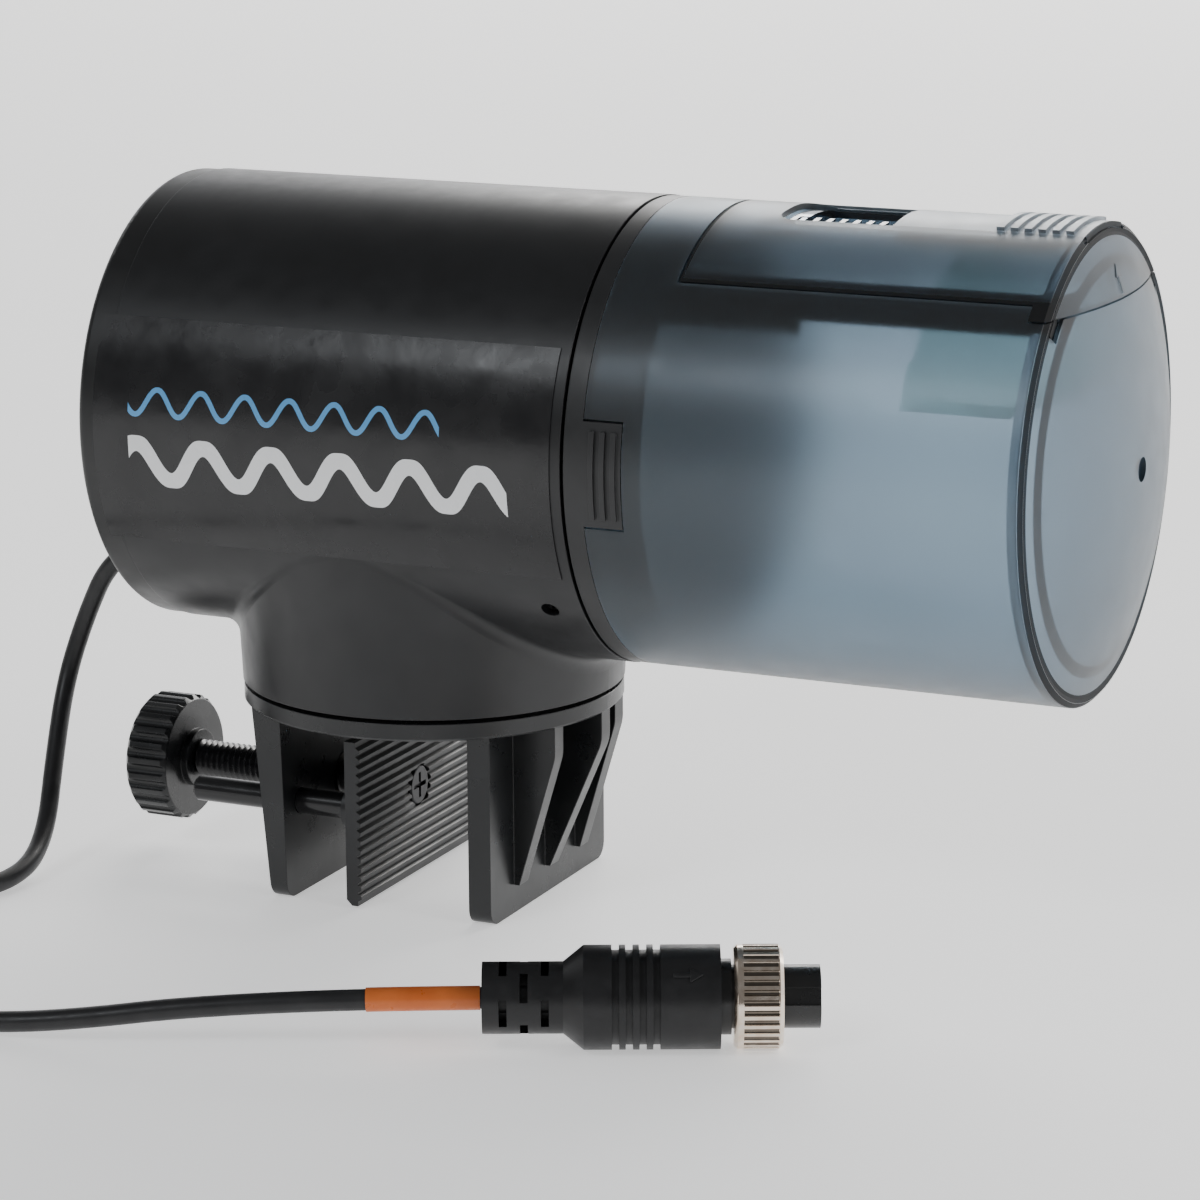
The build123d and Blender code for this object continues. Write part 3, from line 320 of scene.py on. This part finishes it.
# --- Food drum, hatch, shutter and baffle ---
# Four mouldings in clear smoke-grey plastic: the drum with its domed end, the hatch that slides off it, the
# shutter in the feeding slot, and the baffle inside. A sparked tool frosts their outsides, so that only soft
# shapes show through.
drum_low, drum_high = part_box("food_drum")
drum_radius = drum_high.y
drum_axis_z = drum_low.z + drum_radius
dome_depth = 0.0066
dome_x = drum_high.x - dome_depth
hatch_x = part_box("drum_hatch")[0].x
hatch_edge_angle = math.radians(49.5)
hatch_rise = drum_radius * math.sin(hatch_edge_angle)
seam_width = 0.0004
frosted_skin = 0.0009
smoke = (0.12, 0.29, 0.4)
painted_edge_shade = (0.012, 0.018, 0.024)


def sums(tree, operation, *values):
    """One step of arithmetic on outputs or numbers."""
    node = tree.nodes.new("ShaderNodeMath")
    node.operation = operation
    for socket, value in zip(node.inputs, values):
        if isinstance(value, (int, float)):
            socket.default_value = value
        else:
            tree.links.new(value, socket)
    return node.outputs["Value"]


def overlaid(tree, under, mask, ink):
    """A colour, with another over it where the mask is 1."""
    mix = tree.nodes.new("ShaderNodeMix")
    mix.data_type = "RGBA"
    mix.inputs["B"].default_value = (*ink, 1)
    tree.links.new(under, mix.inputs["A"])
    tree.links.new(mask, mix.inputs["Factor"])
    return mix.outputs["Result"]


def beside_seams(tree, along, rise):
    """1 beside the seams that the hatch has with the drum's wall."""
    left = sums(tree, "LESS_THAN", along, hatch_x + seam_width)
    side = sums(tree, "LESS_THAN", rise, hatch_rise + seam_width)
    on_wall = sums(tree, "LESS_THAN", along, dome_x)
    return sums(tree, "MAXIMUM", left, sums(tree, "MULTIPLY", side, on_wall))


def smoky(name, tint, depth_tint, density, clear, frost, has_seams=False, bend=1.49):
    """Tinted clear plastic, darker where it is thicker, with painted shade: a dark line on the rim of the
    dome and beside seams.

    Its outside is frosted and its inside is smooth."""
    material, tree, surface, place = shader(name)
    pale = tuple(min(1.0, part * 1.06) for part in tint)
    body = tinted(tree, spread(tree, grain(tree, place, 0.02), 0, 1), tint, pale)
    axes = tree.nodes.new("ShaderNodeSeparateXYZ")
    tree.links.new(place, axes.inputs["Vector"])
    along = axes.outputs["X"]
    rise = sums(tree, "SUBTRACT", axes.outputs["Z"], drum_axis_z)
    # Painted shade: a thin band on the rim of the dome, and beside the hatch's seams where it has them, is
    # coloured near black. This stands in for the shade at these edges.
    edges = sums(tree, "COMPARE", along, dome_x + 0.0001, 0.0003)
    if has_seams:
        edges = sums(tree, "MAXIMUM", edges, beside_seams(tree, along, rise))
    tree.links.new(overlaid(tree, body, edges, painted_edge_shade), surface.inputs["Base Color"])
    squares = sums(tree, "ADD", sums(tree, "POWER", axes.outputs["Y"], 2.0), sums(tree, "POWER", rise, 2.0))
    on_skin = sums(tree, "GREATER_THAN", sums(tree, "SQRT", squares), drum_radius - frosted_skin)
    outside = sums(tree, "MAXIMUM", on_skin, sums(tree, "GREATER_THAN", along, dome_x))
    rubbed = spread(tree, grain(tree, place, 0.004), frost - 0.03, frost + 0.03)
    smooth = sums(tree, "ADD", 0.1, sums(tree, "MULTIPLY", outside, sums(tree, "SUBTRACT", rubbed, 0.1)))
    matt = sums(tree, "MAXIMUM", smooth, sums(tree, "MULTIPLY", edges, 0.75))
    tree.links.new(matt, surface.inputs["Roughness"])
    surface.inputs["Transmission Weight"].default_value = clear
    surface.inputs["IOR"].default_value = bend
    inside = tree.nodes.new("ShaderNodeVolumeAbsorption")
    inside.inputs["Color"].default_value = (*depth_tint, 1)
    inside.inputs["Density"].default_value = density
    tree.links.new(inside.outputs["Volume"], tree.nodes["Material Output"].inputs["Volume"])
    return material


hatch_smoke = smoky("hatch_smoke", (0.7, 0.735, 0.765), smoke, 480, 0.985, 0.38, has_seams=True)
baffle_green = (0.2, 0.42, 0.4)
finish_node("food_drum", smoky("drum_smoke", (0.78, 0.83, 0.87), smoke, 420, 0.985, 0.38))
finish_node("drum_hatch", hatch_smoke)
finish_node("portion_slider", smoky("shutter_smoke", (0.74, 0.78, 0.82), smoke, 420, 0.85, 0.38))
finish_node("food_baffle", smoky("baffle_smoke", (0.66, 0.77, 0.74), baffle_green, 60, 1.0, 0.5, bend=1.02))

# --- Moulded arrow on the hatch ---
# A small raised arrow on the dome part of the hatch shows which way it slides off. It is moulded with the
# hatch, in the same smoky plastic, and stands a fraction of a millimetre high.
arrow_thickness = 0.0006


def arrow(name, length, material, body, tip, face, ahead):
    """A raised arrow whose tip is at a point, lying on a face with this outward direction."""
    start_clean()
    bpy.ops.mesh.primitive_cylinder_add(
        vertices=3, radius=length * 0.3, depth=arrow_thickness, location=(-length * 0.3, 0, 0),
    )
    head = bpy.context.object
    head.rotation_euler = (0, 0, math.radians(-90))
    bpy.ops.mesh.primitive_cube_add(size=1, location=(-length * 0.7, 0, 0))
    shaft = bpy.context.object
    shaft.scale = (length * 0.6, length * 0.16, arrow_thickness)
    head.select_set(True)
    bpy.ops.object.transform_apply(location=True, rotation=True, scale=True)
    bpy.ops.object.join()
    edges = shaft.modifiers.new("edges", "BEVEL")
    edges.width = 0.00012
    edges.segments = 3
    bpy.ops.object.modifier_apply(modifier="edges")
    up = Vector(face).normalized()
    forward = (Vector(ahead) - Vector(ahead).dot(up) * up).normalized()
    turn = Matrix((forward, up.cross(forward), up)).transposed()
    shaft.matrix_world = Matrix.Translation(Vector(tip)) @ turn.to_4x4()
    return settle(shaft, name, material, body)


dome_rim = drum_radius - 0.0015
dome_sphere = (dome_rim ** 2 + dome_depth ** 2) / (2 * dome_depth)
arrow_rise = 0.0292
dome_face = Vector((math.sqrt(dome_sphere ** 2 - arrow_rise ** 2), 0, arrow_rise))
arrow_tip = Vector((drum_high.x - dome_sphere, 0, drum_axis_z)) + dome_face
arrow("hatch_arrow", 0.0044, hatch_smoke, "hatch", arrow_tip, dome_face, (0, 0, 1))

# --- Label ---
# A gloss black film, wrapped round the side of the housing and lapped over the rear seam. Its print is a
# thin blue wave above a broad white one.
label_low, label_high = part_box("label")
label_radius = -label_low.y
print_start = label_low.x + 0.006
blue_end = label_high.x - 0.0175
white_end = label_high.x - 0.0068
label_film, tree, surface, place = shader("label_film")
axes = tree.nodes.new("ShaderNodeSeparateXYZ")
tree.links.new(place, axes.inputs["Vector"])
rise = sums(tree, "SUBTRACT", axes.outputs["Z"], drum_axis_z)
turn = sums(tree, "ARCTAN2", rise, sums(tree, "MULTIPLY", axes.outputs["Y"], -1.0))
up = sums(tree, "MULTIPLY", turn, label_radius)


def wave_line(middle, swing, length, width, start, end):
    """1 on a printed wave and 0 off it."""
    angle = sums(tree, "MULTIPLY", axes.outputs["X"], 2 * math.pi / length)
    crest = sums(tree, "MULTIPLY", sums(tree, "SINE", angle), swing)
    slope = sums(tree, "MULTIPLY", sums(tree, "COSINE", angle), swing * 2 * math.pi / length)
    steep = sums(tree, "SQRT", sums(tree, "ADD", 1.0, sums(tree, "MULTIPLY", slope, slope)))
    off = sums(tree, "ABSOLUTE", sums(tree, "SUBTRACT", sums(tree, "SUBTRACT", up, middle), crest))
    near = sums(tree, "LESS_THAN", sums(tree, "DIVIDE", off, steep), width / 2)
    past_start = sums(tree, "GREATER_THAN", axes.outputs["X"], start)
    before_end = sums(tree, "LESS_THAN", axes.outputs["X"], end)
    return sums(tree, "MULTIPLY", near, sums(tree, "MULTIPLY", past_start, before_end))


blue_wave = wave_line(0.0052, 0.0019, 0.0074, 0.0008, print_start, blue_end)
white_wave = wave_line(-0.0038, 0.0027, 0.0114, 0.0024, print_start, white_end)
cloud = spread(tree, grain(tree, place, 0.01), 0, 1)
film = tinted(tree, cloud, (0.008, 0.008, 0.009), (0.016, 0.016, 0.017))
with_blue = overlaid(tree, film, blue_wave, (0.12, 0.38, 0.72))
with_both = overlaid(tree, with_blue, white_wave, (0.86, 0.87, 0.88))
tree.links.new(with_both, surface.inputs["Base Color"])
tree.links.new(spread(tree, grain(tree, place, 0.006, 5.0), 0.16, 0.34), surface.inputs["Roughness"])
relief(tree, surface, grain(tree, place, 0.005, 3.0), 0.4, 0.00012)
finish_node("label", label_film)

# --- Cord ---
# A 3 mm round black signal cord, 1.5 m long. It leaves the rubber gland at the back, drops to the floor,
# is wound in a neat coil of spare length, and comes round in front to its plug.
cord_radius = 0.0015
cord_pitch = 0.00305
plug_turn = math.radians(24.6)
plug_back = Vector((0.0416, -0.0688, 0.0073))
plug_ahead = Vector((math.cos(plug_turn), math.sin(plug_turn), 0))
plug_left = Vector((-math.sin(plug_turn), math.cos(plug_turn), 0))
drop_points = [
    (-0.0396, 0, 0.0505),
    (-0.0490, 0, 0.0504),
    (-0.0580, 0, 0.0456),
    (-0.0629, 0, 0.0360),
    (-0.0656, -0.0025, 0.0255),
    (-0.0632, -0.0105, 0.0150),
    (-0.0594, -0.0200, 0.0048),
    (-0.0566, -0.0320, 0.0017),
    (-0.0615, -0.0440, 0.0017),
    (-0.0735, -0.0495, 0.0017),
    (-0.0850, -0.0435, 0.0017),
    (-0.0894, -0.0310, 0.0017),
    (-0.0915, -0.0140, 0.0017),
    (-0.1020, -0.0040, 0.0019),
]
return_points = [
    (-0.1035, -0.0470, 0.0092),
    (-0.0920, -0.0532, 0.0036),
    (-0.0810, -0.0600, 0.0017),
    (-0.0680, -0.0685, 0.0017),
    (-0.0545, -0.0782, 0.0017),
    (-0.0380, -0.0925, 0.0017),
    plug_back - plug_ahead * 0.066 + plug_left * 0.0045 - Vector((0, 0, 0.0054)),
    plug_back - plug_ahead * 0.031,
    plug_back + plug_ahead * 0.004,
]
coil_centre = Vector((-0.114, -0.024, 0))
coil_inner = 0.0130
coil_floor = 0.0022
coil_turns = 10.5
layers = 4
layer_turns = coil_turns / layers
climb_turns = 0.22
steps = 16
coil_points = []
for step in range(int(coil_turns * steps) + 1):
    wound = step / steps
    layer = min(layers - 1, int(wound / layer_turns))
    along = wound - layer * layer_turns
    out = layer_turns - along if layer % 2 == 0 else along
    climb = max(0.0, along - layer_turns + climb_turns) / climb_turns if layer < layers - 1 else 0.0
    angle = math.radians(90) + wound * 2 * math.pi
    radius = (coil_inner + out * cord_pitch) / math.cos(math.pi / steps)
    height = coil_floor + (layer + climb) * cord_pitch
    coil_points.append(coil_centre + Vector((radius * math.cos(angle), radius * math.sin(angle), height)))
route = [Vector(p) for p in drop_points] + coil_points + [Vector(p) for p in return_points]
line = bpy.data.curves.new("feeder_cord_line", "CURVE")
line.dimensions = "3D"
spline = line.splines.new("NURBS")
spline.points.add(len(route) - 1)
for point, spot in zip(spline.points, route):
    point.co = (*spot, 1)
spline.use_endpoint_u = True
spline.order_u = 3
spline.resolution_u = 16
cord = bpy.data.objects.new("cord", line)
bpy.context.scene.collection.objects.link(cord)
bare = bpy.data.meshes.new_from_object(cord)
cord_line = [v.co.copy() for v in bare.vertices]
bpy.data.meshes.remove(bare)
line.bevel_depth = cord_radius
line.bevel_resolution = 6
line.use_fill_caps = True


def rubbery(name, dark, light, shine, texture=0.0004):
    """Soft black sheathing: matt, lightly grained, with paler rubbed patches."""
    material, tree, surface, place = shader(name)
    rubbed = spread(tree, grain(tree, place, 0.003, 5.0), 0, 1)
    tree.links.new(tinted(tree, rubbed, dark, light), surface.inputs["Base Color"])
    uneven = spread(tree, grain(tree, place, 0.002), shine - 0.06, shine + 0.08)
    tree.links.new(uneven, surface.inputs["Roughness"])
    relief(tree, surface, grain(tree, place, texture, 3.0), 0.5, 0.00002)
    return material


sheath_black = rubbery("sheath_black", (0.009, 0.009, 0.01), (0.017, 0.017, 0.018), 0.42)
line.materials.append(sheath_black)
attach(cord, "housing")
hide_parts("feeder_cord", "cord_coil", "cord_return")
finish_node("cable_gland", rubbery("gland_rubber", (0.014, 0.014, 0.015), (0.024, 0.024, 0.026), 0.55))

# --- Cord ties ---
# Two straps of dark hook-and-loop fabric, each closed round the whole section of the coil, keep its turns
# together.
tie_fabric = rubbery("tie_fabric", (0.012, 0.012, 0.013), (0.035, 0.035, 0.037), 0.75, 0.0003)
tie_width = 0.007
tie_corner = 0.0022
coil_reach = layer_turns * cord_pitch
coil_middle = coil_inner + coil_reach / 2
loop_width = coil_reach + 2 * cord_radius + 0.0004
loop_height = (layers - 1) * cord_pitch + 2 * cord_radius + 0.0004


def strap(name, angle):
    """A closed band round the coil's section."""
    start_clean()
    bpy.ops.mesh.primitive_cube_add(size=1, location=(0, 0, 0))
    loop = bpy.context.object
    loop.scale = (loop_width + 0.001, tie_width, loop_height + 0.001)
    bpy.ops.object.transform_apply(location=False, rotation=False, scale=True)
    pick(loop, "FACE", lambda co: abs(co.y) > 0.003)
    bpy.ops.mesh.delete(type="FACE")
    pick(loop, "EDGE", lambda co: abs(co.x) > 0.004 and abs(co.z) > 0.004)
    bpy.ops.mesh.bevel(offset=tie_corner, segments=5)
    bpy.ops.object.mode_set(mode="OBJECT")
    wall = loop.modifiers.new("wall", "SOLIDIFY")
    wall.thickness = 0.0005
    wall.offset = -1
    bpy.ops.object.modifier_apply(modifier="wall")
    edges = loop.modifiers.new("edges", "BEVEL")
    edges.width = 0.00015
    edges.segments = 2
    bpy.ops.object.modifier_apply(modifier="edges")
    loop.rotation_euler = (0, 0, angle)
    middle = coil_centre + Vector((math.cos(angle), math.sin(angle), 0)) * coil_middle
    loop.location = (middle.x, middle.y, coil_floor - cord_radius + loop_height / 2 - 0.0002)
    return settle(loop, name, tie_fabric, "housing")


ties = [strap("cord_tie_left", math.radians(180)), strap("cord_tie_back", math.radians(50))]

# --- Marker sleeve ---
# Thin orange heat-shrink, shrunk on the last stretch of cord. It marks the cord by its colour and ends just
# inside the plug's strain relief.
sleeve_start = -0.0192
sleeve_end = 0.002
sleeve_wall = 0.0002
sleeve_line = [p for p in cord_line if sleeve_start < (p - plug_back).dot(plug_ahead) < sleeve_end]
sleeve_curve = bpy.data.curves.new("marker_sleeve_line", "CURVE")
sleeve_curve.dimensions = "3D"
run = sleeve_curve.splines.new("POLY")
run.points.add(len(sleeve_line) - 1)
for point, spot in zip(run.points, sleeve_line):
    point.co = (*spot, 1)
sleeve_curve.bevel_depth = cord_radius + sleeve_wall
sleeve_curve.bevel_resolution = 8
sleeve = bpy.data.objects.new("cord_marker", sleeve_curve)
bpy.context.scene.collection.objects.link(sleeve)
start_clean()
sleeve.select_set(True)
bpy.context.view_layer.objects.active = sleeve
bpy.ops.object.convert(target="MESH")
sleeve = bpy.context.object
skin = sleeve.modifiers.new("skin", "SOLIDIFY")
skin.thickness = sleeve_wall
skin.offset = -1
bpy.ops.object.modifier_apply(modifier="skin")
sleeve_orange, tree, surface, place = shader("sleeve_orange")
cloud = spread(tree, grain(tree, place, 0.004), 0, 1)
tree.links.new(tinted(tree, cloud, (0.6, 0.13, 0.02), (0.72, 0.18, 0.035)), surface.inputs["Base Color"])
tree.links.new(spread(tree, grain(tree, place, 0.0015), 0.26, 0.4), surface.inputs["Roughness"])
relief(tree, surface, grain(tree, place, 0.0012, 2.0), 0.4, 0.00005)
surface.inputs["Subsurface Weight"].default_value = 0.1
surface.inputs["Subsurface Radius"].default_value = (0.001, 0.0004, 0.0002)
settle(sleeve, "cord_marker", sleeve_orange, "housing")
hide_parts("marker_sleeve")

# --- Plug ---
# Over-moulded soft black body with a slotted strain relief and grip grooves, a nickelled brass nut with a
# straight knurl, and a black insert with four gilt contacts and a keyway.
plug_rubber = rubbery("plug_rubber", (0.006, 0.006, 0.0065), (0.011, 0.011, 0.012), 0.38, 0.0005)
insert_black = moulded("insert_black", (0.008, 0.008, 0.008), (0.016, 0.016, 0.016), 0.3, edge=0.0001)
finish_node("plug_body", plug_rubber)
finish_node("plug_insert", insert_black)
finish_node("plug_contacts", metal("gilt", (0.7, 0.5, 0.2), (0.85, 0.66, 0.32), 0.2))


def vector_step(tree, operation, value, other=None):
    """One step of arithmetic on a vector, and on another where one is given."""
    node = tree.nodes.new("ShaderNodeVectorMath")
    node.operation = operation
    tree.links.new(value, node.inputs[0])
    if other is not None:
        node.inputs[1].default_value = other
    return node


nut_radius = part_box("coupling_nut")[1].z - plug_back.z
knurl_middle = 0.0384
knurl_reach = 0.0024
groove_depth = 0.00012
shade_and_grime_share = 0.85
bright_nickel = metal("bright_nickel", (0.8, 0.66, 0.53), (0.95, 0.84, 0.72), 0.17, size=0.0015)
tree = bright_nickel.node_tree
surface = tree.nodes["Principled BSDF"]
place = tree.nodes["Texture Coordinate"].outputs["Object"]
from_plug = vector_step(tree, "SUBTRACT", place, plug_back).outputs["Vector"]
ahead = vector_step(tree, "DOT_PRODUCT", from_plug, plug_ahead).outputs["Value"]
across = vector_step(tree, "CROSS_PRODUCT", from_plug, plug_ahead).outputs["Vector"]
distance = vector_step(tree, "LENGTH", across).outputs["Value"]
# Painted shade with grime: the bottoms of the knurl's grooves are coloured dark brown, standing in for both
# the shade and the dirt that gather in them.
deep = sums(tree, "LESS_THAN", distance, nut_radius - groove_depth)
knurled = sums(tree, "COMPARE", ahead, knurl_middle, knurl_reach)
groove_shade_and_grime = sums(tree, "MULTIPLY", sums(tree, "MULTIPLY", deep, knurled), shade_and_grime_share)
unshaded_nickel = surface.inputs["Base Color"].links[0].from_socket
tree.links.new(overlaid(tree, unshaded_nickel, groove_shade_and_grime, (0.05, 0.04, 0.03)), surface.inputs["Base Color"])
finish_node("coupling_nut", bright_nickel)
plug_side = (Vector((0, 0, 1)) - plug_left * 1.1).normalized()
plug_arrow_tip = plug_back + plug_ahead * 0.0305 + plug_side * nut_radius
plug_arrow = arrow(
    "plug_arrow", 0.0042, plug_rubber, "housing", plug_arrow_tip, plug_side, plug_ahead,
)

# --- Floor, lights and camera ---
# A plain pale floor that glows a little, a broad soft box behind the feeder, two weaker ones in front on the
# left and at the right, and a long lens from the right front and a little above.
start_clean()
bpy.ops.mesh.primitive_circle_add(vertices=96, radius=8, fill_type="NGON", location=(0, 0, 0))
floor = bpy.context.object
floor.name = "floor"
floor_white, tree, surface, place = shader("floor_white")
cloud = spread(tree, grain(tree, place, 0.3), 0, 1)
tree.links.new(tinted(tree, cloud, (0.9, 0.9, 0.9), (0.92, 0.92, 0.92)), surface.inputs["Base Color"])
surface.inputs["Roughness"].default_value = 0.7
surface.inputs["Emission Color"].default_value = (1, 1, 1, 1)
surface.inputs["Emission Strength"].default_value = 0.6
surface.inputs["Specular IOR Level"].default_value = 0.2
floor.data.materials.append(floor_white)

world = bpy.data.worlds.new("studio")
bpy.context.scene.world = world
world.use_nodes = True
sky = world.node_tree
facing = sky.nodes.new("ShaderNodeSeparateXYZ")
sky.links.new(sky.nodes.new("ShaderNodeTexCoord").outputs["Generated"], facing.inputs["Vector"])
behind = spread(sky, facing.outputs["Y"], 0, 1, -0.2, 0.75)
low = spread(sky, facing.outputs["Z"], 1, 0, 0.35, 0.75)
glow = sums(sky, "ADD", 0.2, sums(sky, "MULTIPLY", 1.3, sums(sky, "MULTIPLY", behind, low)))
sky.links.new(glow, sky.nodes["Background"].inputs["Strength"])
sky.nodes["Background"].inputs["Color"].default_value = (0.97, 0.98, 1.0, 1)


def soft_box(name, spot, aim, size, power, colour=(1, 1, 1)):
    """A rectangular lamp that faces a point."""
    lamp = bpy.data.lights.new(name, "AREA")
    lamp.shape = "RECTANGLE"
    lamp.size, lamp.size_y = size
    lamp.energy = power
    lamp.color = colour
    box = bpy.data.objects.new(name, lamp)
    box.location = spot
    box.rotation_euler = (Vector(aim) - Vector(spot)).to_track_quat("-Z", "Y").to_euler()
    bpy.context.scene.collection.objects.link(box)


soft_box("behind", (0.1, 2.4, 1.3), (0.03, 0, 0.06), (2.6, 1.0), 70, (1.0, 0.985, 0.96))
soft_box("front", (-0.7, -1.9, 1.6), (0, 0, 0.03), (0.8, 0.5), 10, (0.92, 0.96, 1.0))
soft_box("right", (1.5, -0.2, 0.7), (0.08, 0, 0.07), (0.6, 0.9), 8)

lens = bpy.data.cameras.new("camera")
lens.lens = 124.68
lens.sensor_width = 36
lens.clip_start = 0.01
lens.clip_end = 100
camera = bpy.data.objects.new("camera", lens)
stand = Vector((0.28364, -0.55775, 0.19614))
aim = Vector((0.02834, 0, 0.04727))
camera.matrix_world = (
    Matrix.Translation(stand)
    @ (aim - stand).to_track_quat("-Z", "Y").to_matrix().to_4x4()
    @ Matrix.Rotation(math.radians(-0.308), 4, "Z")
)
bpy.context.scene.collection.objects.link(camera)
bpy.context.scene.camera = camera
